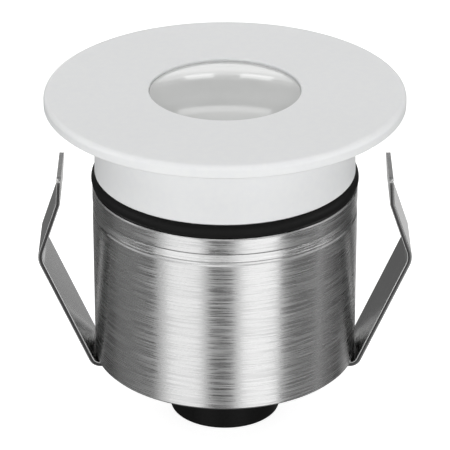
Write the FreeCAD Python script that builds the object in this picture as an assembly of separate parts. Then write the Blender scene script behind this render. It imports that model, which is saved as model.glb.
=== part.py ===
import FreeCAD
import Part
import math
import os

Vector = FreeCAD.Vector

# A recessed deck light, in millimetres. The origin is the centre of the flange's underside,
# which rests on the deck. +Z points up out of the deck, and the spring clips stand at -X and +X.

# White front ring: flange, collar and the spigot that goes into the can
flange_radius = 30.0
flange_thickness = 2.15
flange_crown = 0.18
flange_top_round = 0.9
flange_foot_chamfer = 0.15
collar_length = 12.15
collar_inset = 0.42
collar_draft = 0.23
collar_root_round = 0.4
collar_edge_chamfer = 0.2
opening_edge_round = 0.25
lip_thickness = 1.75
seat_width = 2.3
chamber_step = 2.1
spigot_length = 8.0
spigot_wall = 3.45
spigot_end_chamfer = 0.4

# Front gasket between the collar and the can
front_gasket_thickness = 2.35
front_gasket_inset = 0.4
front_gasket_bulge = 0.55
front_gasket_clearance = 0.15

# Turned stainless can
can_radius = 22.25
can_height = 31.55
can_wall = 1.6
can_shoulder_width = 1.0
can_floor = 3.5
can_top_chamfer = 0.2
can_bottom_chamfer = 0.4
spigot_clearance = 0.2
groove_top_drop = 2.62
groove_height = 2.25
groove_depth = 0.2
groove_step_height = 0.3
groove_ridge_drop = 1.45
groove_ridge_inset = 0.05
groove_lower_depth = 0.24
groove_lip = 0.22

# O-ring on the spigot
o_ring_section_radius = 0.7
o_ring_drop = 4.5
o_ring_squeeze_room = 0.15
o_ring_side_room = 0.2

# Domed lens, its gasket and its clamp ring
lens_recess = 0.47
lens_dome_height = 1.3
lens_hollow_height = 0.9
lens_side_clearance = 0.06
lens_rim_thickness = 1.5
lens_rim_clearance = 0.2
lens_gasket_thickness = 0.5
clamp_height = 2.5
clamp_width = 3.1
clamp_notch_width = 2.4
clamp_notch_depth = 1.2

# Reflector cup over the light source
reflector_wall = 0.9
reflector_rim_thickness = 0.8
reflector_rim_clearance = 0.3
reflector_rim_width = 3.8
reflector_throat_clearance = 0.6
reflector_foot_clearance = 0.25
reflector_foot_width = 1.0
reflector_gap = 0.1

# Light source on its board
led_base_size = 7.0
led_base_height = 0.9
led_dome_radius = 2.8
led_dome_height = 0.4
led_dome_gap = 0.3
led_board_thickness = 1.6
led_board_margin = 0.2
thermal_pad_thickness = 0.5

# Heat spreader: a disc on the can's shoulder, with a pedestal for the board
heat_disc_thickness = 3.5
heat_disc_clearance = 0.15
heat_stack_clearance = 0.1
pedestal_height = 4.0
pedestal_clearance = 1.8

# Screws, one size for all boards and clips
screw_radius = 1.25
screw_head_radius = 2.1
screw_head_height = 1.5
screw_head_round = 0.5
screw_clearance = 0.08
screw_end_room = 0.4
recess_length = 2.2
recess_width = 0.6
recess_depth = 0.8
led_screw_inset = 2.6
led_screw_grip = 3.0

# Driver board, hung on three hexagonal standoffs
standoff_inset = 3.2
standoff_length = 5.0
standoff_across_flats = 4.5
standoff_stud_length = 2.5
driver_screw_grip = 3.5
driver_board_clearance = 1.45
driver_board_thickness = 1.6

# Parts on the driver board
inductor_radius = 4.0
inductor_height = 3.6
inductor_flange_height = 0.7
inductor_waist = 0.8
inductor_x_share = -0.385
inductor_y_share = -0.19
rectifier_length = 4.7
rectifier_width = 3.8
rectifier_height = 2.4
rectifier_x_share = 0.385
rectifier_y_share = -0.22
driver_chip_length = 5.0
driver_chip_width = 4.0
driver_chip_height = 1.5
driver_chip_x_share = 0.3
driver_chip_y_share = 0.19
capacitor_radius = 3.15
capacitor_length = 10.0
capacitor_end_round = 0.4
capacitor_crimp_depth = 0.3
capacitor_crimp_width = 1.0
capacitor_crimp_inset = 1.6
capacitor_x_share = 0.11
capacitor_inset = 5.4

# Two-way terminal block for the supply wires
terminal_width = 6.5
terminal_height = 6.4
terminal_pitch = 3.5
terminal_x_share = 0.03
terminal_inset = 3.85
terminal_wire_radius = 1.0
terminal_wire_depth = 4.0
terminal_screw_radius = 1.25
terminal_screw_height = 2.0
terminal_screw_inset = 0.6
terminal_screw_clearance = 0.1
terminal_slot_width = 0.5
terminal_slot_depth = 0.6

# Leads from the driver board up to the light source's board
lead_radius = 0.55
lead_spacing = 2.8
lead_inset = 3.0
lead_bend_radius = 1.5
lead_slot_room = 0.75

# Cable gland through the can's floor
gland_shank_radius = 6.0
gland_shank_clearance = 0.15
gland_washer_thickness = 1.0
gland_washer_radius = 8.6
gland_flange_across_flats = 17.0
gland_flange_height = 2.5
gland_neck_radius = 7.2
gland_neck_room = 1.0
gland_bore_room = 0.4
gland_nut_across_flats = 15.0
gland_nut_height = 2.8
gland_shank_proud = 0.4
gland_seal_radius = 5.0
gland_seal_bore_radius = 3.2
gland_seal_length = 5.4
gland_seal_clearance = 0.05
gland_cap_radius = 9.4
gland_cap_height = 7.5
gland_cap_floor = 2.0
gland_cap_round = 0.6
gland_cap_mouth_room = 0.3
gland_thread_clearance = 0.15
gland_seal_end_room = 0.1

# Spring clips of bent sheet steel. The heights are above the can's bottom and the reaches
# are out from its wall, both to the middle of the sheet.
clip_thickness = 0.8
clip_width = 11.4
clip_foot_clearance = 1.2
clip_root_reach = 0.27
clip_knee_reach = 8.93
clip_knee_height = 19.8
clip_shoulder_reach = 5.57
clip_shoulder_height = 29.79
clip_end_reach = 5.28
clip_tab_height = 4.72
clip_root_bend_radius = 1.6
clip_knee_bend_radius = 3.6
clip_shoulder_bend_radius = 1.5
clip_corner_round = 0.8
clip_hinge_height = 1.5
clip_screw_place_share = 0.45
clip_screw_spacing = 6.2
clip_screw_grip = 2.2
clip_relief_room = 0.12
clip_relief_side_room = 0.2

# Overrun of every cutting tool past the face that it cuts
overrun = 1.0

# Heights worked out from the sizes above
gasket_top = -collar_length
can_top = gasket_top - front_gasket_thickness
can_bottom = can_top - can_height
floor_top = can_bottom + can_floor
spigot_bottom = -collar_length - spigot_length
lip_bottom = flange_thickness - lip_thickness
lens_rim_top = lip_bottom - lens_gasket_thickness
lens_rim_bottom = lens_rim_top - lens_rim_thickness
face_top = flange_thickness + flange_crown
lens_edge = face_top - lens_recess
clamp_bottom = lens_rim_bottom - clamp_height
heat_top = spigot_bottom - heat_stack_clearance
heat_bottom = heat_top - heat_disc_thickness
pedestal_top = heat_top + pedestal_height
pad_top = pedestal_top + thermal_pad_thickness
led_board_top = pad_top + led_board_thickness
led_base_top = led_board_top + led_base_height
driver_board_top = heat_bottom - standoff_length
driver_board_bottom = driver_board_top - driver_board_thickness

# Radii worked out from the sizes above
collar_radius = can_radius - collar_inset
collar_root_radius = collar_radius - collar_draft
front_gasket_radius = can_radius - front_gasket_inset
can_bore_radius = can_radius - can_wall
lower_bore_radius = can_bore_radius - can_shoulder_width
spigot_radius = can_bore_radius - spigot_clearance
chamber_radius = spigot_radius - spigot_wall
seat_radius = chamber_radius - chamber_step
opening_radius = seat_radius - seat_width
lens_radius = opening_radius - lens_side_clearance
lens_rim_radius = seat_radius - lens_rim_clearance
pedestal_radius = chamber_radius - pedestal_clearance
led_board_radius = pedestal_radius - led_board_margin
reflector_mouth_radius = chamber_radius - reflector_rim_width
reflector_throat_radius = led_dome_radius + reflector_throat_clearance
driver_board_radius = lower_bore_radius - driver_board_clearance
screw_hole_radius = screw_radius + screw_clearance
gland_bore_radius = gland_seal_bore_radius + gland_bore_room
gland_cap_mouth_radius = gland_seal_bore_radius + gland_cap_mouth_room

# Places on the two boards worked out from the sizes above
led_screw_ring_radius = led_board_radius - led_screw_inset
lead_y = led_board_radius - lead_inset
standoff_ring_radius = driver_board_radius - standoff_inset
inductor_x = driver_board_radius * inductor_x_share
inductor_y = driver_board_radius * inductor_y_share
rectifier_x = driver_board_radius * rectifier_x_share
rectifier_y = driver_board_radius * rectifier_y_share
driver_chip_x = driver_board_radius * driver_chip_x_share
driver_chip_y = driver_board_radius * driver_chip_y_share
capacitor_x = driver_board_radius * capacitor_x_share
capacitor_y = driver_board_radius - capacitor_inset
terminal_x = driver_board_radius * terminal_x_share
terminal_y = terminal_inset - driver_board_radius

# Angles in degrees
thirds = (0, 120, 240)
led_screw_start_angle = -90
standoff_start_angle = 0


# Solid turned about the Z axis. Each step of the outline is (radius, height), reached by a
# straight line, or (radius, height, middle radius, middle height), reached by an arc.
def turned(outline):
    edges = []
    start = Vector(outline[0][0], 0, outline[0][1])
    first = start
    for step in list(outline[1:]) + [outline[0][:2]]:
        end = Vector(step[0], 0, step[1])
        if len(step) == 4:
            middle = Vector(step[2], 0, step[3])
            edges.append(Part.Arc(start, middle, end).toShape())
        elif start.distanceToPoint(end) > 0:
            edges.append(Part.LineSegment(start, end).toShape())
        start = end
    assert start.isEqual(first, 0)
    face = Part.Face(Part.Wire(edges))
    return face.revolve(Vector(0, 0, 0), Vector(0, 0, 1), 360)


# Step of an outline that rounds a corner with a quarter circle, from a point to another
def quarter(start, end, centre, radius):
    half = math.sqrt(0.5)
    side = 1 if start[0] + end[0] > 2 * centre[0] else -1
    rise = 1 if start[1] + end[1] > 2 * centre[1] else -1
    return (end[0], end[1], centre[0] + side * half * radius, centre[1] + rise * half * radius)


def cylinder(radius, low, high, x=0, y=0):
    return Part.makeCylinder(radius, high - low, Vector(x, y, low))


def box(size_x, size_y, low, high, x=0, y=0):
    corner = Vector(x - size_x / 2, y - size_y / 2, low)
    return Part.makeBox(size_x, size_y, high - low, corner)


def hexagon(across_flats, low, high, x=0, y=0):
    radius = across_flats / math.sqrt(3)
    corners = []
    for turn in range(7):
        angle = math.radians(60 * turn)
        corners.append(Vector(x + radius * math.cos(angle), y + radius * math.sin(angle), low))
    return Part.Face(Part.makePolygon(corners)).extrude(Vector(0, 0, high - low))


def ring_places(radius, start_angle):
    places = []
    for turn in thirds:
        angle = math.radians(start_angle + turn)
        places.append((radius * math.cos(angle), radius * math.sin(angle)))
    return places


# Pan-head screw standing with its head's underside at the origin and its shank down -Z
def screw(shank_length):
    flat_radius = screw_head_radius - screw_head_round
    shoulder = screw_head_height - screw_head_round
    head_round = quarter(
        (screw_head_radius, shoulder), (flat_radius, screw_head_height),
        (flat_radius, shoulder), screw_head_round)
    body = turned([
        (0, -shank_length),
        (screw_radius, -shank_length),
        (screw_radius, 0),
        (screw_head_radius, 0),
        (screw_head_radius, shoulder),
        head_round,
        (0, screw_head_height)])
    bottom = screw_head_height - recess_depth
    top = screw_head_height + overrun
    along = box(recess_length, recess_width, bottom, top)
    across = box(recess_width, recess_length, bottom, top)
    return body.cut(along.fuse(across))


# Copy of a screw put at a place, with its head up or turned over
def placed(shape, x, y, z, upside_down=False):
    copy = shape.copy()
    if upside_down:
        copy.rotate(Vector(0, 0, 0), Vector(1, 0, 0), 180)
    copy.translate(Vector(x, y, z))
    return copy


# Slot with round ends that the two leads pass through
def lead_slot(low, high):
    reach = lead_spacing / 2
    radius = lead_radius + lead_slot_room
    ends = cylinder(radius, low, high, -reach, lead_y).fuse(cylinder(radius, low, high, reach, lead_y))
    return ends.fuse(box(lead_spacing, 2 * radius, low, high, 0, lead_y))


def front_ring():
    edge_start = flange_radius - flange_top_round
    edge_end = flange_thickness - flange_top_round
    rim = quarter(
        (edge_start, flange_thickness), (flange_radius, edge_end),
        (edge_start, edge_end), flange_top_round)
    mouth_radius = opening_radius + opening_edge_round
    mouth_low = face_top - opening_edge_round
    mouth = quarter(
        (opening_radius, mouth_low), (mouth_radius, face_top),
        (mouth_radius, mouth_low), opening_edge_round)
    root_edge = collar_root_radius + collar_root_round
    root = quarter(
        (root_edge, 0), (collar_root_radius, -collar_root_round),
        (root_edge, -collar_root_round), collar_root_round)
    ring_centre = -collar_length - o_ring_drop
    ring_half = o_ring_section_radius + o_ring_side_room
    return turned([
        (opening_radius, lip_bottom),
        (opening_radius, mouth_low),
        mouth,
        (edge_start, flange_thickness),
        rim,
        (flange_radius, flange_foot_chamfer),
        (flange_radius - flange_foot_chamfer, 0),
        (root_edge, 0),
        root,
        (collar_radius, collar_edge_chamfer - collar_length),
        (collar_radius - collar_edge_chamfer, -collar_length),
        (spigot_radius, -collar_length),
        (spigot_radius, ring_centre + ring_half),
        (o_ring_floor_radius(), ring_centre + ring_half),
        (o_ring_floor_radius(), ring_centre - ring_half),
        (spigot_radius, ring_centre - ring_half),
        (spigot_radius, spigot_bottom + spigot_end_chamfer),
        (spigot_radius - spigot_end_chamfer, spigot_bottom),
        (chamber_radius, spigot_bottom),
        (chamber_radius, clamp_bottom),
        (seat_radius, clamp_bottom),
        (seat_radius, lip_bottom)])


def o_ring_floor_radius():
    return can_bore_radius - o_ring_squeeze_room - 2 * o_ring_section_radius


def spigot_o_ring():
    centre_radius = can_bore_radius - o_ring_squeeze_room - o_ring_section_radius
    height = -collar_length - o_ring_drop
    return Part.makeTorus(centre_radius, o_ring_section_radius, Vector(0, 0, height))


def front_gasket():
    inner = spigot_radius + front_gasket_clearance
    middle = gasket_top - front_gasket_thickness / 2
    return turned([
        (inner, can_top),
        (inner, gasket_top),
        (front_gasket_radius, gasket_top),
        (front_gasket_radius, can_top, front_gasket_radius + front_gasket_bulge, middle)])


def lens():
    dome_top = lens_edge + lens_dome_height
    hollow_top = lens_rim_bottom + lens_hollow_height
    hollow_radius = lens_rim_radius - clamp_width
    dome = arc_step(lens_radius, lens_edge, dome_top, lens_dome_height)
    hollow = arc_step(hollow_radius, lens_rim_bottom, hollow_top, lens_hollow_height)
    outline = [
        (0, hollow_top),
        (hollow_radius, lens_rim_bottom, hollow[0], hollow[1]),
        (lens_rim_radius, lens_rim_bottom),
        (lens_rim_radius, lens_rim_top),
        (lens_radius, lens_rim_top),
        (lens_radius, lens_edge),
        (0, dome_top, dome[0], dome[1])]
    return turned(outline)


# Middle point of the arc from a dome's crown on the axis down to its edge
def arc_step(edge_radius, edge_height, crown_height, rise):
    sphere_radius = (edge_radius ** 2 + rise ** 2) / (2 * rise)
    angle = math.asin(edge_radius / sphere_radius) / 2
    return (sphere_radius * math.sin(angle), crown_height - sphere_radius * (1 - math.cos(angle)))


def lens_gasket():
    outer = cylinder(lens_rim_radius, lens_rim_top, lip_bottom)
    return outer.cut(cylinder(opening_radius, lens_rim_top - overrun, lip_bottom + overrun))


def lens_clamp_ring():
    inner = lens_rim_radius - clamp_width
    ring = cylinder(lens_rim_radius, clamp_bottom, lens_rim_bottom)
    ring = ring.cut(cylinder(inner, clamp_bottom - overrun, lens_rim_bottom + overrun))
    span = 2 * (lens_rim_radius + overrun)
    notches = box(span, clamp_notch_width, clamp_bottom - overrun, clamp_bottom + clamp_notch_depth)
    return ring.cut(notches)


def reflector():
    top = clamp_bottom - reflector_gap
    throat = led_base_top + led_dome_height + led_dome_gap
    web_top = throat + reflector_wall
    rim_bottom = top - reflector_rim_thickness
    slope = (reflector_mouth_radius - reflector_throat_radius) / (top - throat)
    wall = reflector_wall * math.sqrt(1 + slope ** 2)
    foot_inner = led_base_size / math.sqrt(2) + reflector_foot_clearance
    foot_outer = foot_inner + reflector_foot_width
    return turned([
        (reflector_throat_radius, throat),
        (reflector_mouth_radius, top),
        (chamber_radius - reflector_rim_clearance, top),
        (chamber_radius - reflector_rim_clearance, rim_bottom),
        (reflector_throat_radius + wall + slope * (rim_bottom - throat), rim_bottom),
        (reflector_throat_radius + wall + slope * (web_top - throat), web_top),
        (foot_outer, web_top),
        (foot_outer, led_board_top),
        (foot_inner, led_board_top),
        (foot_inner, throat)])


def led_base():
    return box(led_base_size, led_base_size, led_board_top, led_base_top)


def led_dome():
    return cylinder(led_dome_radius, led_base_top, led_base_top + led_dome_height)


def drilled(shape, places, radius, low, high):
    for x, y in places:
        shape = shape.cut(cylinder(radius, low - overrun, high + overrun, x, y))
    return shape


def led_board():
    board = cylinder(led_board_radius, pad_top, led_board_top)
    places = ring_places(led_screw_ring_radius, led_screw_start_angle)
    board = drilled(board, places, screw_hole_radius, pad_top, led_board_top)
    return board.cut(lead_slot(pad_top - overrun, led_board_top + overrun))


def thermal_pad():
    pad = cylinder(led_board_radius, pedestal_top, pad_top)
    places = ring_places(led_screw_ring_radius, led_screw_start_angle)
    pad = drilled(pad, places, screw_hole_radius, pedestal_top, pad_top)
    return pad.cut(lead_slot(pedestal_top - overrun, pad_top + overrun))


def led_screws():
    stack = led_board_thickness + thermal_pad_thickness
    model = screw(stack + led_screw_grip)
    places = ring_places(led_screw_ring_radius, led_screw_start_angle)
    return Part.makeCompound([placed(model, x, y, led_board_top) for x, y in places])


def heat_spreader():
    disc = cylinder(can_bore_radius - heat_disc_clearance, heat_bottom, heat_top)
    shape = disc.fuse(cylinder(pedestal_radius, heat_bottom, pedestal_top))
    hole_bottom = pedestal_top - led_screw_grip - screw_end_room
    for x, y in ring_places(led_screw_ring_radius, led_screw_start_angle):
        shape = shape.cut(cylinder(screw_hole_radius, hole_bottom, pedestal_top + overrun, x, y))
    hole_top = heat_bottom + standoff_stud_length + screw_end_room
    for x, y in ring_places(standoff_ring_radius, standoff_start_angle):
        shape = shape.cut(cylinder(screw_hole_radius, heat_bottom - overrun, hole_top, x, y))
    return shape.cut(lead_slot(heat_bottom - overrun, pedestal_top + overrun))


def standoffs():
    solids = []
    hole_top = driver_board_top + driver_screw_grip + screw_end_room
    for x, y in ring_places(standoff_ring_radius, standoff_start_angle):
        post = hexagon(standoff_across_flats, driver_board_top, heat_bottom, x, y)
        post = post.cut(cylinder(screw_hole_radius, driver_board_top - overrun, hole_top, x, y))
        stud = cylinder(screw_radius, heat_bottom, heat_bottom + standoff_stud_length, x, y)
        solids.append(post.fuse(stud))
    return Part.makeCompound(solids)


def driver_screws():
    model = screw(driver_board_thickness + driver_screw_grip)
    places = ring_places(standoff_ring_radius, standoff_start_angle)
    return Part.makeCompound([placed(model, x, y, driver_board_bottom, True) for x, y in places])


def driver_board():
    board = cylinder(driver_board_radius, driver_board_bottom, driver_board_top)
    places = ring_places(standoff_ring_radius, standoff_start_angle)
    return drilled(board, places, screw_hole_radius, driver_board_bottom, driver_board_top)


def inductor():
    flange_low = driver_board_top + inductor_flange_height
    top = driver_board_top + inductor_height
    flange_high = top - inductor_flange_height
    waist_radius = inductor_radius - inductor_waist
    spool = turned([
        (0, driver_board_top),
        (inductor_radius, driver_board_top),
        (inductor_radius, flange_low),
        (waist_radius, flange_low),
        (waist_radius, flange_high),
        (inductor_radius, flange_high),
        (inductor_radius, top),
        (0, top)])
    return placed(spool, inductor_x, inductor_y, 0)


def rectifier():
    high = driver_board_top + rectifier_height
    return box(rectifier_length, rectifier_width, driver_board_top, high, rectifier_x, rectifier_y)


def driver_chip():
    high = driver_board_top + driver_chip_height
    return box(driver_chip_length, driver_chip_width, driver_board_top, high, driver_chip_x, driver_chip_y)


# Electrolytic capacitor lying along X under the driver board
def capacitor():
    flat_radius = capacitor_radius - capacitor_end_round
    round_end = capacitor_length - capacitor_end_round
    crimp_middle = capacitor_crimp_inset + capacitor_crimp_width / 2
    crimp_end = capacitor_crimp_inset + capacitor_crimp_width
    end_round = quarter(
        (capacitor_radius, round_end), (flat_radius, capacitor_length),
        (flat_radius, round_end), capacitor_end_round)
    can = turned([
        (0, 0),
        (capacitor_radius, 0),
        (capacitor_radius, capacitor_crimp_inset),
        (capacitor_radius, crimp_end, capacitor_radius - capacitor_crimp_depth, crimp_middle),
        (capacitor_radius, round_end),
        end_round,
        (0, capacitor_length)])
    can.rotate(Vector(0, 0, 0), Vector(0, 1, 0), 90)
    low_end = capacitor_x - capacitor_length / 2
    can.translate(Vector(low_end, capacitor_y, driver_board_bottom - capacitor_radius))
    return can


def terminal_places():
    half = terminal_pitch / 2
    return [(terminal_x - half, terminal_y), (terminal_x + half, terminal_y)]


def terminal_block():
    bottom = driver_board_bottom - terminal_height
    block = box(2 * terminal_pitch, terminal_width, bottom, driver_board_bottom, terminal_x, terminal_y)
    entry_face = terminal_y + terminal_width / 2
    entry_height = bottom + terminal_height / 2
    hole_top = bottom + terminal_screw_inset + terminal_screw_height
    hole_radius = terminal_screw_radius + terminal_screw_clearance
    for x, y in terminal_places():
        start = Vector(x, entry_face + overrun, entry_height)
        depth = terminal_wire_depth + overrun
        block = block.cut(Part.makeCylinder(terminal_wire_radius, depth, start, Vector(0, -1, 0)))
        block = block.cut(cylinder(hole_radius, bottom - overrun, hole_top, x, y))
    return block


def terminal_screws():
    low = driver_board_bottom - terminal_height + terminal_screw_inset
    solids = []
    for x, y in terminal_places():
        head = cylinder(terminal_screw_radius, low, low + terminal_screw_height, x, y)
        slot = box(2 * (terminal_screw_radius + overrun), terminal_slot_width,
                   low - overrun, low + terminal_slot_depth, x, y)
        solids.append(head.cut(slot))
    return Part.makeCompound(solids)


# One lead: up from the driver board through the slot, and over an arch to its pad beside it
def lead(side):
    x = side * lead_spacing / 2
    arch_spring = Vector(x, lead_y, led_board_top)
    arch_top = Vector(x + side * lead_bend_radius, lead_y, led_board_top + lead_bend_radius)
    arch_end = Vector(x + side * 2 * lead_bend_radius, lead_y, led_board_top)
    start = Vector(x, lead_y, driver_board_top)
    path = Part.Wire([
        Part.LineSegment(start, arch_spring).toShape(),
        Part.Arc(arch_spring, arch_top, arch_end).toShape()])
    section = Part.Wire(Part.makeCircle(lead_radius, start, Vector(0, 0, 1)))
    return path.makePipeShell([section], True, False)


def red_lead():
    return lead(-1)


def black_lead():
    return lead(1)


def housing_can():
    groove_top = can_top - groove_top_drop
    groove_ridge = groove_top - groove_ridge_drop
    groove_bottom = groove_top - groove_height
    can = turned([
        (gland_shank_radius + gland_shank_clearance, can_bottom),
        (can_radius - can_bottom_chamfer, can_bottom),
        (can_radius, can_bottom + can_bottom_chamfer),
        (can_radius, groove_bottom),
        (can_radius - groove_lip, groove_bottom + groove_lip),
        (can_radius - groove_lower_depth, groove_ridge - groove_step_height),
        (can_radius - groove_ridge_inset, groove_ridge),
        (can_radius - groove_depth, groove_top - groove_step_height),
        (can_radius, groove_top),
        (can_radius, can_top - can_top_chamfer),
        (can_radius - can_top_chamfer, can_top),
        (can_bore_radius, can_top),
        (can_bore_radius, heat_bottom),
        (lower_bore_radius, heat_bottom),
        (lower_bore_radius, floor_top),
        (gland_shank_radius + gland_shank_clearance, floor_top)])
    hole_top = can_bottom + clip_screw_grip + screw_end_room
    for x, y in clip_screw_places():
        can = can.cut(cylinder(screw_hole_radius, can_bottom - overrun, hole_top, x, y))
    for side in (-1, 1):
        can = can.cut(clip_relief(side))
    return can


# Notch in the can's bottom edge, so that a clip's root bend clears the edge
def clip_relief(side):
    points = clip_points()
    turn = unit(points[0], points[1]).getAngle(unit(points[1], points[2]))
    bend_start = points[1].x - clip_root_bend_radius * math.tan(turn / 2)
    inner_radius = clip_root_bend_radius - clip_thickness / 2
    depth = max(0, can_radius - bend_start)
    height = inner_radius - math.sqrt(max(0, inner_radius ** 2 - depth ** 2))
    size_x = depth + clip_relief_room + overrun
    middle = can_radius + overrun - size_x / 2
    size_y = clip_width + 2 * clip_relief_side_room
    return box(size_x, size_y, can_bottom - overrun, can_bottom + height + clip_relief_room, side * middle)


def gland_washer():
    low = can_bottom - gland_washer_thickness
    washer = cylinder(gland_washer_radius, low, can_bottom)
    hole = gland_shank_radius + gland_shank_clearance
    return washer.cut(cylinder(hole, low - overrun, can_bottom + overrun))


def gland_body():
    flange_top = can_bottom - gland_washer_thickness
    flange_bottom = flange_top - gland_flange_height
    bottom = gland_seal_bottom() + gland_neck_room
    top = floor_top + gland_nut_height + gland_shank_proud
    body = hexagon(gland_flange_across_flats, flange_bottom, flange_top)
    body = body.fuse(cylinder(gland_shank_radius, flange_top, top))
    body = body.fuse(cylinder(gland_neck_radius, bottom, flange_bottom))
    body = body.cut(cylinder(gland_bore_radius, bottom - overrun, top + overrun))
    pocket_top = gland_seal_bottom() + gland_seal_length + gland_seal_end_room
    pocket = cylinder(gland_seal_radius + gland_seal_clearance, bottom - overrun, pocket_top)
    return body.cut(pocket)


def gland_nut():
    top = floor_top + gland_nut_height
    nut = hexagon(gland_nut_across_flats, floor_top, top)
    hole = gland_shank_radius + gland_thread_clearance
    return nut.cut(cylinder(hole, floor_top - overrun, top + overrun))


def gland_cap_bottom():
    top = can_bottom - gland_washer_thickness - gland_flange_height
    return top - gland_cap_height


def gland_seal_bottom():
    return gland_cap_bottom() + gland_cap_floor


def gland_seal():
    low = gland_seal_bottom()
    high = low + gland_seal_length
    seal = cylinder(gland_seal_radius, low, high)
    return seal.cut(cylinder(gland_seal_bore_radius, low - overrun, high + overrun))


def gland_cap():
    bottom = gland_cap_bottom()
    top = bottom + gland_cap_height
    floor = gland_seal_bottom()
    flat_radius = gland_cap_radius - gland_cap_round
    foot_round = quarter(
        (flat_radius, bottom), (gland_cap_radius, bottom + gland_cap_round),
        (flat_radius, bottom + gland_cap_round), gland_cap_round)
    thread_radius = gland_neck_radius + gland_thread_clearance
    return turned([
        (gland_cap_mouth_radius, bottom),
        (flat_radius, bottom),
        foot_round,
        (gland_cap_radius, top),
        (thread_radius, top),
        (thread_radius, floor),
        (gland_cap_mouth_radius, floor)])


# Middle line of the right clip's sheet in the XZ plane, from the foot to the free end
def clip_points():
    foot_level = can_bottom - clip_thickness / 2
    end_height = clip_shoulder_height + clip_tab_height
    knee = Vector(can_radius + clip_knee_reach, 0, can_bottom + clip_knee_height)
    root = Vector(can_radius + clip_root_reach, 0, can_bottom)
    slope = (knee.x - root.x) / (knee.z - root.z)
    corner = Vector(root.x + slope * (foot_level - root.z), 0, foot_level)
    return [
        Vector(clip_foot_inner(), 0, foot_level),
        corner,
        knee,
        Vector(can_radius + clip_shoulder_reach, 0, can_bottom + clip_shoulder_height),
        Vector(can_radius + clip_end_reach, 0, can_bottom + end_height)]


# The foot stops short of the corners of the gland's hexagon
def clip_foot_inner():
    return gland_flange_across_flats / math.sqrt(3) + clip_foot_clearance


def unit(start, end):
    return (end - start).normalize()


# Left of a direction, seen from -Y
def left_of(direction):
    return Vector(-direction.z, 0, direction.x)


# Edges of the bent middle line, moved sideways by an offset
def bent_edges(points, radii, offset):
    edges = []
    last = len(points) - 1
    start = points[0] + left_of(unit(points[0], points[1])) * offset
    for index in range(1, last):
        before = unit(points[index - 1], points[index])
        after = unit(points[index], points[index + 1])
        turn = math.asin(before.x * after.z - before.z * after.x)
        side = 1 if turn > 0 else -1
        radius = radii[index - 1]
        tangent = radius * math.tan(abs(turn) / 2)
        arc_start = points[index] - before * tangent
        centre = arc_start + left_of(before) * (side * radius)
        outward = unit(centre, points[index])
        edge_start = arc_start + left_of(before) * offset
        edge_end = points[index] + after * tangent + left_of(after) * offset
        edge_middle = centre + outward * (radius - side * offset)
        edges.append(Part.LineSegment(start, edge_start).toShape())
        edges.append(Part.Arc(edge_start, edge_middle, edge_end).toShape())
        start = edge_end
    finish = points[last] + left_of(unit(points[last - 1], points[last])) * offset
    edges.append(Part.LineSegment(start, finish).toShape())
    return edges, finish


def clip_sheet():
    points = clip_points()
    radii = (clip_root_bend_radius, clip_knee_bend_radius, clip_shoulder_bend_radius)
    half = clip_thickness / 2
    inner, inner_end = bent_edges(points, radii, half)
    outer, outer_end = bent_edges(points, radii, -half)
    up = Vector(0, 0, half)
    foot_end = Part.LineSegment(points[0] - up, points[0] + up).toShape()
    free_end = Part.LineSegment(inner_end, outer_end).toShape()
    outline = Part.Wire(inner + [free_end] + outer[::-1] + [foot_end])
    face = Part.Face(outline)
    face.translate(Vector(0, -clip_width / 2, 0))
    sheet = face.extrude(Vector(0, clip_width, 0))
    return round_free_corners(sheet, (inner_end + outer_end) / 2)


# The free end's two corners, each the short edge across the sheet's thickness
def round_free_corners(sheet, end_point):
    corners = []
    for edge in sheet.Edges:
        middle = edge.CenterOfMass
        at_side = abs(abs(middle.y) - clip_width / 2) < clip_thickness / 2
        at_end = math.hypot(middle.x - end_point.x, middle.z - end_point.z) < clip_thickness / 4
        if at_side and at_end and edge.Length < 2 * clip_thickness:
            corners.append(edge)
    return sheet.makeFillet(clip_corner_round, corners)


# Block that fills the space on the far side of a plane square to the sheet
def beyond(point, direction):
    size = 4 * (can_height + clip_shoulder_height)
    block = Part.makeBox(size, size, size, Vector(-size / 2, -size / 2, 0))
    block.Placement = FreeCAD.Placement(point, FreeCAD.Rotation(Vector(0, 0, 1), direction)).multiply(
        block.Placement)
    return block


# Where the sheet is parted for its two hinges: low on the leg, and half way round the knee
def clip_partings():
    points = clip_points()
    along_leg = unit(points[1], points[2])
    rise = clip_hinge_height + clip_thickness / 2
    low = points[1] + along_leg * (rise / along_leg.z)
    after_knee = unit(points[2], points[3])
    across_knee = (along_leg + after_knee).normalize()
    turn = math.acos(along_leg.dot(after_knee))
    gap = clip_knee_bend_radius * (1 / math.cos(turn / 2) - 1)
    high = points[2] + left_of(across_knee) * gap
    return (low, along_leg), (high, across_knee)


def clip_pieces():
    sheet = clip_sheet()
    low_parting, high_parting = clip_partings()
    above_low = beyond(*low_parting)
    above_high = beyond(*high_parting)
    foot = sheet.cut(above_low)
    for x, y in clip_screw_places():
        low = can_bottom - clip_thickness - overrun
        foot = foot.cut(cylinder(screw_hole_radius, low, can_bottom + overrun, x, y))
    leg = sheet.common(above_low).cut(above_high)
    tip = sheet.common(above_high)
    return {"foot": foot, "leg": leg, "tip": tip}


def clip_screw_places():
    half = clip_screw_spacing / 2
    foot_length = can_radius + clip_root_reach - clip_foot_inner()
    x = clip_foot_inner() + foot_length * clip_screw_place_share
    return [(-x, -half), (-x, half), (x, -half), (x, half)]


def clip_screws():
    model = screw(clip_thickness + clip_screw_grip)
    level = can_bottom - clip_thickness
    return Part.makeCompound([placed(model, x, y, level, True) for x, y in clip_screw_places()])


def save(node, shape):
    for solid in shape.Solids:
        assert solid.isValid() and solid.Volume > 0, node
    if len(shape.Solids) == 1:
        shape = shape.Solids[0]
    shape.exportStep("parts/" + node + ".step")


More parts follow.
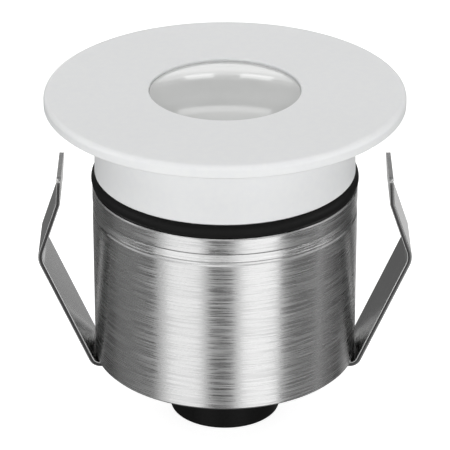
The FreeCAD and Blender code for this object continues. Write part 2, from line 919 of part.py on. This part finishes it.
def save_clips():
    for name, piece in clip_pieces().items():
        save("clip_right_" + name, piece)
        save("clip_left_" + name, piece.mirror(Vector(0, 0, 0), Vector(1, 0, 0)))


def main():
    os.makedirs("parts", exist_ok=True)
    makers = (
        front_ring, front_gasket, spigot_o_ring, lens, lens_gasket, lens_clamp_ring, reflector,
        led_base, led_dome, led_board, thermal_pad, led_screws, heat_spreader, standoffs,
        driver_screws, driver_board, inductor, rectifier, driver_chip, capacitor,
        terminal_block, terminal_screws, red_lead, black_lead, housing_can, gland_washer,
        gland_body, gland_nut, gland_seal, gland_cap, clip_screws)
    for maker in makers:
        save(maker.__name__, maker())
    save_clips()


main()
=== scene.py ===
import bpy
import math
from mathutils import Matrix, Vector


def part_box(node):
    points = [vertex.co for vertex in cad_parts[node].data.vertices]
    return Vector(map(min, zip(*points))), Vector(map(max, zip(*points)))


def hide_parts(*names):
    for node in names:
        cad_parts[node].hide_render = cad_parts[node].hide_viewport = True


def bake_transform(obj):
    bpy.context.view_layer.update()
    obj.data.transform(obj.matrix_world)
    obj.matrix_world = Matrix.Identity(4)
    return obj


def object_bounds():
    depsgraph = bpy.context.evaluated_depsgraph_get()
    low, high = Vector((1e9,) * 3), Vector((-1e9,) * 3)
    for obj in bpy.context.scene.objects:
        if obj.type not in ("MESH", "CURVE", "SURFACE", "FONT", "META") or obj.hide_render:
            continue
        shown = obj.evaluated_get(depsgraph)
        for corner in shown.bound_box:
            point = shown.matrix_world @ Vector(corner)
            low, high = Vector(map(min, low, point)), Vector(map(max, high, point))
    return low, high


# A recessed deck light: a white ring with a domed opal lens, a brushed stainless can with two
# spring clips, and a black cable gland. Places come from the frame, and mm makes metres of
# the millimetres in the dictionaries.

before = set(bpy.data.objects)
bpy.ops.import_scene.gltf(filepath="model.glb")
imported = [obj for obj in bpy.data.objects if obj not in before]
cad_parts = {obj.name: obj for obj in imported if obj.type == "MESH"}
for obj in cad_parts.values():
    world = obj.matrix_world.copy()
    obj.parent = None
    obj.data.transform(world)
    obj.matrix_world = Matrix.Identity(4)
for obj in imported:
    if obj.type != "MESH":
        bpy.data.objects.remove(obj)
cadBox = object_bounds()
mm = 0.001


# sRGB hex to the linear colour that a shader takes
def linear(hexColour):
    colour = [1, 1, 1, 1]
    for channel in range(3):
        part = int(hexColour[1 + 2 * channel:3 + 2 * channel], 16) / 255
        colour[channel] = part / 12.92 if part <= 0.04045 else ((part + 0.055) / 1.055) ** 2.4
    return colour


# One node with its settings and links. A setting is a socket's value or a property of the node,
# and ramp is a list of (place, hex colour).
def addNode(tree, kind, settings=None, links=None):
    node = tree.nodes.new(kind)
    for name, value in (settings or {}).items():
        if name == "ramp":
            while len(node.color_ramp.elements) < len(value):
                node.color_ramp.elements.new(0.5)
            for element, (place, hexColour) in zip(node.color_ramp.elements, value):
                element.position = place
                element.color = linear(hexColour)
        elif isinstance(name, int) or name in node.inputs:
            node.inputs[name].default_value = value
        else:
            setattr(node, name, value)
    for name, socket in (links or {}).items():
        tree.links.new(socket, node.inputs[name])
    return node


# Camera

cameraLook = {
    "height": -22.77,     # mm, of the point that it looks at on the light's axis
    "distance": 512.7,    # mm
    "elevation": 26.233,  # degrees above the horizon
    "lens": 243.03,       # mm, a long lens, so the circles stay nearly true ellipses
    "sensor": 36.0,       # mm
}


def makeCamera():
    data = bpy.data.cameras.new("camera")
    data.lens = cameraLook["lens"]
    data.sensor_width = cameraLook["sensor"]
    camera = bpy.data.objects.new("camera", data)
    tilt = math.radians(cameraLook["elevation"])
    distance = cameraLook["distance"] * mm
    height = cameraLook["height"] * mm + distance * math.sin(tilt)
    camera.location = (0, -distance * math.cos(tilt), height)
    camera.rotation_euler = (math.pi / 2 - tilt, 0, 0)
    bpy.context.scene.collection.objects.link(camera)
    bpy.context.scene.camera = camera


makeCamera()
print("camera placed")


# Studio: big soft panels round the light. Standing panels are given by the bearing of their left
# and right edges, in degrees to the left of the camera, and by the heights of their lower and upper
# edges as degrees above the horizon. Brightness is what a mirror would show, 1 for white, and
# panels that overlap add up.

studio = {
    "distance": 1.5,          # m, from the light to each panel
    "room": (0.10, 0.08),     # brightness of the dim room, low down and from eye level up
    "roomEdges": (-0.45, -0.2),  # sines of the heights between which the room darkens
    "backdrop": 1.0,
    "standing": {
        "leftSoftbox": (52, 20, -60, 10, 1.34),
        "leftSoftboxInner": (20, 14, -60, 10, 0.72),
        "leftSoftboxEdge": (61.5, 52, -60, 10, 0.75),
        "leftSoftboxHigh": (60, 17, -9, 10, 0.4),
        "leftSoftboxTop": (52, 17, 10, 32, 0.5),
        "rightSoftboxInner": (-7.5, -14, -60, 10, 0.8),
        "rightSoftbox": (-14, -48, -60, 10, 1.47),
        "rightSoftboxEdge": (-48, -57, -60, 10, 0.2),
        "rightSoftboxHigh": (-12, -57, -9, 10, 0.4),
        "rightSoftboxTop": (-12, -49, 10, 32, 0.5),
        "frontPanel": (17, -13, -18, 32, 1.05),
        "leftFill": (112, 68, -60, -8, 0.11),
        "leftRearFill": (180, 150, -60, -14, 0.07),
        "rightFill": (-57, -108, -60, -8, 0.10),
        "rightStrip": (-87, -92, -60, -8, 0.35),
        "rightEdgeFill": (-124, -146, -60, -8, 0.2),
        "rightRearFill": (-132, -180, -60, -20, 0.14),
        "leftSide": (98, 62, -3, 16, 3.9),
        "rightSide": (-60, -98, -3, 16, 4.5),
        "leftGlow": (125, 98, 2, 45, 0.3),
        "rightGlow": (-98, -125, 2, 45, 0.3),
        "rearPanel": (197, 163, -6, 8, 1.55),
        "rearWingLeft": (163, 148, -6, 12, 0.9),
        "rearWingRight": (212, 197, -6, 12, 0.9),
        "rearPanelMiddle": (197, 163, 8, 12, 1.8),
        "rearPanelUpper": (197, 163, 12, 16, 1.4),
        "rearPanelTop": (197, 163, 16, 20, 0.7),
        "rearStripLeft": (178.5, 174.6, 14, 18, 1.4),
        "rearStripRight": (186.5, 182.1, 14, 18, 1.4),
        "rearDim": (200, 160, 20, 34, 0.28),
        "rearFill": (203, 176, -36, -12, 0.44),
    },
    "overhead": {             # left, right, front and back edges in m, height in m, brightness
        "overheadFront": (-1.0, 0.86, -1.0, -0.2, 1.2, 1.75),
        "overheadBack": (-1.6, 1.6, -0.2, 1.32, 1.2, 0.8),
        "overheadMiddle": (-0.8, 0.8, -0.2, 1.2, 1.2, 0.8),
        "overheadStrip": (-0.28, 0.28, 1.29, 1.50, 1.2, 2.1),
    },
}


def addPanel(name, centre, facing, width, height, brightness):
    data = bpy.data.lights.new(name, "AREA")
    data.shape = "RECTANGLE"
    data.size = width
    data.size_y = height
    data.energy = brightness * math.pi * width * height
    panel = bpy.data.objects.new(name, data)
    panel.location = centre
    panel.rotation_euler = Vector(facing).to_track_quat("-Z", "Y").to_euler()
    bpy.context.scene.collection.objects.link(panel)


def makeStudio():
    reach = studio["distance"]
    for name, (left, right, low, high, brightness) in studio["standing"].items():
        bearing = math.radians((left + right) / 2)
        width = 2 * reach * math.tan(math.radians((left - right) / 2))
        bottom = reach * math.tan(math.radians(low))
        top = reach * math.tan(math.radians(high))
        outward = Vector((-math.sin(bearing), -math.cos(bearing), 0))
        centre = outward * reach + Vector((0, 0, (bottom + top) / 2))
        addPanel(name, centre, -outward, width, top - bottom, brightness)
    for name, (left, right, front, back, height, brightness) in studio["overhead"].items():
        centre = ((left + right) / 2, (front + back) / 2, height)
        addPanel(name, centre, (0, 0, -1), right - left, back - front, brightness)


# Dim room light round the light itself, and a white backdrop where the camera looks past it
def makeRoom():
    world = bpy.data.worlds.new("studio")
    bpy.context.scene.world = world
    world.use_nodes = True
    tree = world.node_tree
    tree.nodes.clear()
    low, high = studio["room"]
    lowEdge, highEdge = studio["roomEdges"]
    outward = addNode(tree, "ShaderNodeTexCoord")
    axes = addNode(tree, "ShaderNodeSeparateXYZ", None, {"Vector": outward.outputs["Generated"]})
    dimming = addNode(tree, "ShaderNodeMapRange", {
        "interpolation_type": "SMOOTHSTEP", "From Min": lowEdge, "From Max": highEdge,
        "To Min": low, "To Max": high}, {"Value": axes.outputs["Z"]})
    room = addNode(tree, "ShaderNodeBackground", {
        "Color": linear("#ffffff")}, {"Strength": dimming.outputs["Result"]})
    backdrop = addNode(tree, "ShaderNodeBackground", {
        "Color": linear("#ffffff"), "Strength": studio["backdrop"]})
    path = addNode(tree, "ShaderNodeLightPath")
    mix = addNode(tree, "ShaderNodeMixShader", None, {
        0: path.outputs["Is Camera Ray"], 1: room.outputs[0], 2: backdrop.outputs[0]})
    addNode(tree, "ShaderNodeOutputWorld", None, {"Surface": mix.outputs[0]})
    bpy.context.scene.view_settings.view_transform = "Standard"


floor = {
    "size": 8.0,        # m
    "colour": "#bfbfbf",
    "roughness": 0.9,
    "glow": 0.86,       # keeps the floor white, with only a breath of shadow
}


# Pale floor at the gland's end. Only the camera sees it, so the panels show in the steel whole.
def makeFloor():
    half = floor["size"] / 2
    level = cadBox[0].z
    mesh = bpy.data.meshes.new("floor")
    corners = [(x, y, level) for x, y in ((-half, -half), (half, -half), (half, half), (-half, half))]
    mesh.from_pydata(corners, [], [(0, 1, 2, 3)])
    stand = bpy.data.objects.new("floor", mesh)
    bpy.context.scene.collection.objects.link(stand)
    stand.visible_diffuse = False
    stand.visible_glossy = False
    stand.visible_transmission = False
    stand.visible_shadow = False
    material = bpy.data.materials.new("paleFloor")
    material.use_nodes = True
    shader = material.node_tree.nodes["Principled BSDF"]
    shader.inputs["Base Color"].default_value = linear(floor["colour"])
    shader.inputs["Roughness"].default_value = floor["roughness"]
    shader.inputs["Emission Color"].default_value = linear("#ffffff")
    shader.inputs["Emission Strength"].default_value = floor["glow"]
    mesh.materials.append(material)


makeStudio()
makeRoom()
makeFloor()
print("studio lit")


# Materials. Each look is one dictionary: colours in sRGB hex, sizes in mm. A grain is the size of
# a pattern along X, Y and Z and its height, so a turned piece has it short along its axis. The
# colours and the roughness are those of the first grain's hollows and then of its ridges.

looks = {
    # Polyester powder coat, sprayed and baked on an aluminium casting: an even satin white
    # with a faint orange peel that only the highlights show.
    "white_powder_coat": {
        "colours": ("#e5e6e7", "#e7e8e8"),
        "grains": [((1.2, 1.2, 1.2), 0.0012), ((0.3, 0.3, 0.3), 0.0004)],
        "roughness": (0.42, 0.48), "ior": 1.5},
    # EPDM rubber, moulded in a blasted tool: deep black that breaks light up softly.
    "black_rubber": {
        "colours": ("#060606", "#0c0c0c"), "grains": [((0.35, 0.35, 0.35), 0.006)],
        "roughness": (0.50, 0.62), "ior": 1.52, "specular": 0.15},
    # Opal acrylic, moulded and polished: milky body under a clear glossy skin.
    "opal_lens": {
        "colours": ("#c8c9c8", "#cbcccb"), "grains": [((4.0, 4.0, 4.0), 0.0)],
        "roughness": (0.06, 0.09), "ior": 1.49},
    # Silicone, moulded: soft matt white.
    "white_silicone": {
        "colours": ("#dcdcd8", "#e6e6e2"), "grains": [((0.4, 0.4, 0.4), 0.003)],
        "roughness": (0.50, 0.60), "ior": 1.41},
    # Aluminium, turned and black anodised: dark satin with the tool's rings.
    "black_anodised": {
        "colours": ("#1e1e20", "#2a2a2d"), "grains": [((9.0, 9.0, 0.15), 0.002)],
        "roughness": (0.35, 0.45), "metallic": 0.6},
    # White ABS, moulded: smooth and even, with an open shine.
    "white_plastic": {
        "colours": ("#ececea", "#f2f2f0"), "grains": [((0.8, 0.8, 0.8), 0.002)],
        "roughness": (0.30, 0.40), "ior": 1.54},
    # Alumina ceramic, fired: chalky off-white.
    "led_ceramic": {
        "colours": ("#e4e2dc", "#eeece6"), "grains": [((0.2, 0.2, 0.2), 0.002)],
        "roughness": (0.45, 0.55), "ior": 1.76},
    # Silicone filled with phosphor, poured: warm yellow with a wet skin.
    "led_phosphor": {
        "colours": ("#e0b23c", "#e9c052"), "grains": [((0.25, 0.25, 0.25), 0.001)],
        "roughness": (0.20, 0.28), "ior": 1.41},
    # White solder mask, printed on an aluminium board: a thin even gloss.
    "white_board": {
        "colours": ("#e6e7e4", "#eff0ed"), "grains": [((1.5, 1.5, 1.5), 0.001)],
        "roughness": (0.25, 0.32), "ior": 1.55},
    # Filled silicone pad, rolled: soft grey.
    "thermal_pad": {
        "colours": ("#82868c", "#8f9399"), "grains": [((0.3, 0.3, 0.3), 0.004)],
        "roughness": (0.65, 0.75), "ior": 1.43},
    # A2 stainless screws, cold headed and tumbled: a soft, faintly mottled shine.
    "screw_steel": {
        "colours": ("#b9b7b3", "#c8c6c2"), "grains": [((0.5, 0.5, 0.5), 0.002)],
        "roughness": (0.25, 0.35), "metallic": 1.0},
    # Aluminium, turned and left bare: pale metal with the tool's rings.
    "bare_aluminium": {
        "colours": ("#c6c7c8", "#d6d7d8"), "grains": [((12.0, 12.0, 0.12), 0.002)],
        "roughness": (0.32, 0.42), "metallic": 1.0},
    # Brass, turned from hexagon bar: warm yellow with the tool's rings.
    "brass": {
        "colours": ("#c9a85a", "#d6b566"), "grains": [((6.0, 6.0, 0.12), 0.0015)],
        "roughness": (0.25, 0.33), "metallic": 1.0},
    # Glass-epoxy board under green solder mask: the weave stands through faintly.
    "green_board": {
        "colours": ("#1c5a36", "#236a41"), "grains": [((0.6, 0.6, 0.6), 0.002)],
        "roughness": (0.28, 0.36), "ior": 1.55},
    # Ferrite, pressed and sintered: dull charcoal.
    "ferrite": {
        "colours": ("#2b2b2d", "#38383a"), "grains": [((0.25, 0.25, 0.25), 0.003)],
        "roughness": (0.55, 0.65), "ior": 1.8},
    # Epoxy moulding compound: matt black with a fine spark-eroded grain.
    "chip_plastic": {
        "colours": ("#1b1b1c", "#242425"), "grains": [((0.15, 0.15, 0.15), 0.002)],
        "roughness": (0.50, 0.60), "ior": 1.55},
    # Polyester sleeve, shrunk on an aluminium can: deep blue with a tight shine.
    "capacitor_sleeve": {
        "colours": ("#20304e", "#283a5c"), "grains": [((5.0, 1.0, 1.0), 0.001)],
        "roughness": (0.22, 0.30), "ior": 1.57},
    # Polyamide terminal body, moulded: satin green.
    "terminal_plastic": {
        "colours": ("#2c6e4a", "#357c55"), "grains": [((0.4, 0.4, 0.4), 0.002)],
        "roughness": (0.38, 0.46), "ior": 1.53},
    # PVC wire, extruded: faint lines along the wire.
    "red_wire": {
        "colours": ("#b4231f", "#c22b26"), "grains": [((0.2, 0.2, 5.0), 0.001)],
        "roughness": (0.30, 0.38), "ior": 1.53},
    "black_wire": {
        "colours": ("#171717", "#202020"), "grains": [((0.2, 0.2, 5.0), 0.001)],
        "roughness": (0.30, 0.38), "ior": 1.53},
    # Nylon 66 with glass fibre, moulded: black satin with a fine eroded grain.
    "black_nylon": {
        "colours": ("#070707", "#0d0d0d"), "grains": [((0.3, 0.3, 0.3), 0.004)],
        "roughness": (0.42, 0.52), "ior": 1.53, "specular": 0.08},
    # Spring stainless strip, cold rolled and sheared to width: satin grey with rolling lines along
    # the strip. The cut edges face along Y; they are painted dark grey as painted shade for the dark
    # reflection they show, and made duller.
    "spring_steel": {
        "colours": ("#bababa", "#c4c4c3"), "grains": [((12.0, 0.35, 12.0), 0.001)],
        "roughness": (0.13, 0.18), "metallic": 1.0,
        "cutEdgeShade": {"colour": "#646464", "roughness": 0.25, "facing": (0.93, 0.985)}},
    # Stainless tube, turned and brushed round in the lathe: fine rings that tip the light up and
    # down, so that the soft dark and bright bands of the room break into level streaks. Real
    # 180 grit lines are 0.08 mm apart, drawn coarser so that they show.
    "brushed_stainless": {
        "colours": ("#c5c5c5", "#c3c3c3"),
        "grains": [((8.0, 8.0, 0.2), 0.010), ((2.0, 2.0, 0.18), 0.016)],
        "roughness": (0.14, 0.40), "metallic": 1.0, "brushed": 0.4},
}


# What all the patterns share. The ends are the noise levels that count as hollow and as ridge.
pattern = {
    "detail": 2.0,
    "fineness": 0.55,
    "colourEnds": (0.35, 0.65),
    "sheenEnds": (0.3, 0.7),
    "brushTurn": 0.25,  # of a full turn, which lays the brushing level round the axis
}


def makeMaterial(name, look):
    material = bpy.data.materials.new(name)
    material.use_nodes = True
    tree = material.node_tree
    shader = tree.nodes["Principled BSDF"]
    place = addNode(tree, "ShaderNodeTexCoord")
    grains = []
    for size, height in look["grains"]:
        stretch = addNode(tree, "ShaderNodeMapping", {
            "Scale": [1 / (length * mm) for length in size]}, {"Vector": place.outputs["Object"]})
        grains.append(addNode(tree, "ShaderNodeTexNoise", {
            "Scale": 1.0, "Detail": pattern["detail"], "Roughness": pattern["fineness"]}, {
            "Vector": stretch.outputs[0]}))
    hollow, ridge = look["colours"]
    tone = addNode(tree, "ShaderNodeValToRGB", {
        "ramp": list(zip(pattern["colourEnds"], (hollow, ridge)))}, {"Fac": grains[0].outputs["Fac"]})
    hollowSheen, ridgeSheen = look["roughness"]
    sheen = addNode(tree, "ShaderNodeMapRange", {
        "From Min": pattern["sheenEnds"][0], "From Max": pattern["sheenEnds"][1],
        "To Min": hollowSheen, "To Max": ridgeSheen}, {"Value": grains[0].outputs["Fac"]})
    colour, roughness = tone.outputs["Color"], sheen.outputs["Result"]
    # A mix node takes two colours at 6 and 7 and gives theirs at 2. Numbers go in at 2 and 3, out at 0.
    # Faces turned along Y, the cut edges, get a dark grey colour: painted shade for their dark
    # reflection, and a duller roughness.
    if "cutEdgeShade" in look:
        edgeShade = look["cutEdgeShade"]
        axes = addNode(tree, "ShaderNodeSeparateXYZ", None, {"Vector": place.outputs["Normal"]})
        facing = addNode(tree, "ShaderNodeMath", {"operation": "ABSOLUTE"}, {0: axes.outputs["Y"]})
        edge = addNode(tree, "ShaderNodeMapRange", {
            "From Min": edgeShade["facing"][0], "From Max": edgeShade["facing"][1]}, {"Value": facing.outputs[0]})
        colour = addNode(tree, "ShaderNodeMix", {"data_type": "RGBA", 7: linear(edgeShade["colour"])}, {
            0: edge.outputs["Result"], 6: colour}).outputs[2]
        roughness = addNode(tree, "ShaderNodeMix", {"data_type": "FLOAT", 3: edgeShade["roughness"]}, {
            0: edge.outputs["Result"], 2: roughness}).outputs[0]
    tree.links.new(colour, shader.inputs["Base Color"])
    tree.links.new(roughness, shader.inputs["Roughness"])
    below = {}
    for grain, (size, height) in zip(grains, look["grains"]):
        if height:
            relief = addNode(tree, "ShaderNodeBump", {
                "Strength": 1.0, "Distance": height * mm}, {"Height": grain.outputs["Fac"], **below})
            below = {"Normal": relief.outputs["Normal"]}
    if below:
        tree.links.new(below["Normal"], shader.inputs["Normal"])
    for socket, word in (("Metallic", "metallic"), ("IOR", "ior"), ("Specular IOR Level", "specular")):
        if word in look:
            shader.inputs[socket].default_value = look[word]
    if "brushed" in look:
        around = addNode(tree, "ShaderNodeTangent", {"direction_type": "RADIAL", "axis": "Z"})
        shader.inputs["Anisotropic"].default_value = look["brushed"]
        shader.inputs["Anisotropic Rotation"].default_value = pattern["brushTurn"]
        tree.links.new(around.outputs["Tangent"], shader.inputs["Tangent"])
    return material


materials = {name: makeMaterial(name, look) for name, look in looks.items()}
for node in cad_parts.values():
    for slot in node.material_slots:
        slot.material = materials[slot.material.name]
print("materials made:", len(materials))


# Spring clips. Each is one strip of sheet, bent along its middle line: a foot under the can, a leg
# out to the knee, and a tip back in to the shoulder and up to the free end.

clip = {
    "thickness": 0.8,
    "width": 11.4,
    "edgeRound": 0.15,
    "rootReach": 0.27,       # reaches are out from the can's wall, heights up from its bottom
    "kneeReach": 8.93,
    "kneeHeight": 19.8,
    "shoulderReach": 5.57,
    "shoulderHeight": 29.79,
    "endReach": 5.28,
    "tabHeight": 4.72,
    "bends": (1.6, 3.6, 1.5),  # root, knee and shoulder, to the middle of the sheet
    "cornerRound": 0.8,
    "spacing": 0.8,          # longest stretch of strip between two sections
    "bendSections": 10,
    "edgeSections": 3,
    "edgeShares": (0.08, 0.3, 0.6, 1.0),      # of the edge's round, where its end gets sections
    "cornerShares": (0.35, 0.55, 0.75, 1.0),  # of the corner's round, the same
    "leastRound": 0.1,                        # of the edge's round, left at the very end
    "legFlex": 3.5,          # length of leg that gives at the root
    "kneeFlex": 2.5,         # and of each side of the knee
}


# Middle line of the right clip in the XZ plane, in mm
def clipCorners():
    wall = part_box("housing_can")[1].x / mm
    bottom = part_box("housing_can")[0].z / mm
    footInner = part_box("clip_right_foot")[0].x / mm
    footLevel = bottom - clip["thickness"] / 2
    root = Vector((wall + clip["rootReach"], 0, bottom))
    knee = Vector((wall + clip["kneeReach"], 0, bottom + clip["kneeHeight"]))
    slope = (knee.x - root.x) / (knee.z - root.z)
    return [
        Vector((footInner, 0, footLevel)),
        Vector((root.x + slope * (footLevel - root.z), 0, footLevel)),
        knee,
        Vector((wall + clip["shoulderReach"], 0, bottom + clip["shoulderHeight"])),
        Vector((wall + clip["endReach"], 0, bottom + clip["shoulderHeight"] + clip["tabHeight"])),
    ]


# Sections along a line with round bends: (place, direction, length so far)
def walkLine(corners, bends):
    sections = []
    walked = 0

    def straight(start, end, walked):
        length = (end - start).length
        steps = max(1, math.ceil(length / clip["spacing"]))
        direction = (end - start).normalized()
        for step in range(steps):
            share = step / steps
            sections.append((start.lerp(end, share), direction, walked + length * share))
        return walked + length

    start = corners[0]
    for index, bend in enumerate(bends):
        corner = corners[index + 1]
        before = (corner - corners[index]).normalized()
        after = (corners[index + 2] - corner).normalized()
        turn = before.angle(after)
        tangent = bend * math.tan(turn / 2)
        walked = straight(start, corner - before * tangent, walked)
        side = (after - before * before.dot(after)).normalized()
        centre = corner - before * tangent + side * bend
        for step in range(clip["bendSections"]):
            angle = turn * step / clip["bendSections"]
            place = centre - side * bend * math.cos(angle) + before * bend * math.sin(angle)
            direction = before * math.cos(angle) + side * math.sin(angle)
            sections.append((place, direction, walked + bend * angle))
        walked += bend * turn
        start = corner + after * tangent
    walked = straight(start, corners[-1], walked)
    sections.append((corners[-1], (corners[-1] - start).normalized(), walked))
    return sections


# Closed outline of the sheet's section: a flat bar with round edges, as (across, through)
def barOutline(halfWidth, halfThickness, edge):
    outline = []
    for corner, (across, through) in enumerate(((1, 1), (-1, 1), (-1, -1), (1, -1))):
        for step in range(clip["edgeSections"] + 1):
            angle = math.radians(90) * (corner + step / clip["edgeSections"])
            outline.append((
                across * (halfWidth - edge) + edge * math.cos(angle),
                through * (halfThickness - edge) + edge * math.sin(angle)))
    return outline


# How far a round corner draws in at a distance from the end
def drawnIn(distance, radius):
    if distance >= radius:
        return 0
    return radius - math.sqrt(max(0, radius ** 2 - (radius - distance) ** 2))


# A point of the right clip, in mm, to metres on the clip's own side
def onSide(point, side):
    return (point.x * side * mm, point.y * mm, point.z * mm)


# One stretch of the strip. It stays sharp at cutRing, where the leg and the tip are parted.
def stripMesh(name, sections, total, side, cutRing):
    rings = []
    for place, direction, walked in sections:
        toEnd = total - walked
        edgeIn = drawnIn(min(walked, toEnd), clip["edgeRound"])
        cornerIn = drawnIn(toEnd, clip["cornerRound"])
        through = Vector((direction.z, 0, -direction.x))
        outline = barOutline(
            clip["width"] / 2 - cornerIn - edgeIn,
            clip["thickness"] / 2 - edgeIn,
            max(clip["edgeRound"] - edgeIn, clip["edgeRound"] * clip["leastRound"]))
        rings.append([place + through * depth + Vector((0, across, 0)) for across, depth in outline])
    count = len(rings[0])
    points = [onSide(point, side) for ring in rings for point in ring]
    faces = []
    for ring in range(len(rings) - 1):
        for corner in range(count):
            following = (corner + 1) % count
            faces.append((
                ring * count + corner, ring * count + following,
                (ring + 1) * count + following, (ring + 1) * count + corner))
    faces.append(tuple(range(count))[::-1])
    faces.append(tuple(range((len(rings) - 1) * count, len(rings) * count)))
    if side > 0:
        faces = [face[::-1] for face in faces]
    mesh = bpy.data.meshes.new(name)
    mesh.from_pydata(points, [], faces)
    mesh.shade_smooth()
    mesh.materials.append(materials["spring_steel"])
    start = cutRing % len(rings) * count
    for edge in mesh.edges:
        edge.use_edge_sharp = all(start <= vertex < start + count for vertex in edge.vertices)
    piece = bpy.data.objects.new(name, mesh)
    bpy.context.scene.collection.objects.link(piece)
    weighted = piece.modifiers.new("flat faces stay flat", "WEIGHTED_NORMAL")
    weighted.keep_sharp = True
    return piece


# Sections added where the strip's end and free corners turn in
def withEnds(sections, total):
    extra = [clip["edgeRound"] * share for share in clip["edgeShares"]]
    corners = [clip["cornerRound"] * share for share in clip["cornerShares"]]
    first, last = sections[0], sections[-1]
    start = [(first[0] + first[1] * distance, first[1], distance) for distance in extra]
    inwards = sorted(extra + corners, reverse=True)
    end = [(last[0] - last[1] * distance, last[1], total - distance) for distance in inwards]
    middle = [section for section in sections[1:-1] if extra[-1] < section[2] < total - corners[-1]]
    return [first] + start + middle + end + [last]


def makeClips():
    corners = clipCorners()
    plain = walkLine(corners, clip["bends"])
    total = plain[-1][2]
    sections = withEnds(plain, total)
    root, knee = corners[1], corners[2]
    middle = (root + knee) / 2
    fromMiddle = [(place - middle).length for place, direction, walked in sections]
    split = fromMiddle.index(min(fromMiddle))
    for word, side in (("right", 1), ("left", -1)):
        leg = stripMesh("clip_" + word + "_spring", sections[:split + 1], total, side, -1)
        tip = stripMesh("clip_" + word + "_catch", sections[split:], total, side, 0)
        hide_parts("clip_" + word + "_foot", "clip_" + word + "_leg")
        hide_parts("clip_" + word + "_tip")
        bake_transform(leg)
        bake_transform(tip)


makeClips()
print("clips bent")
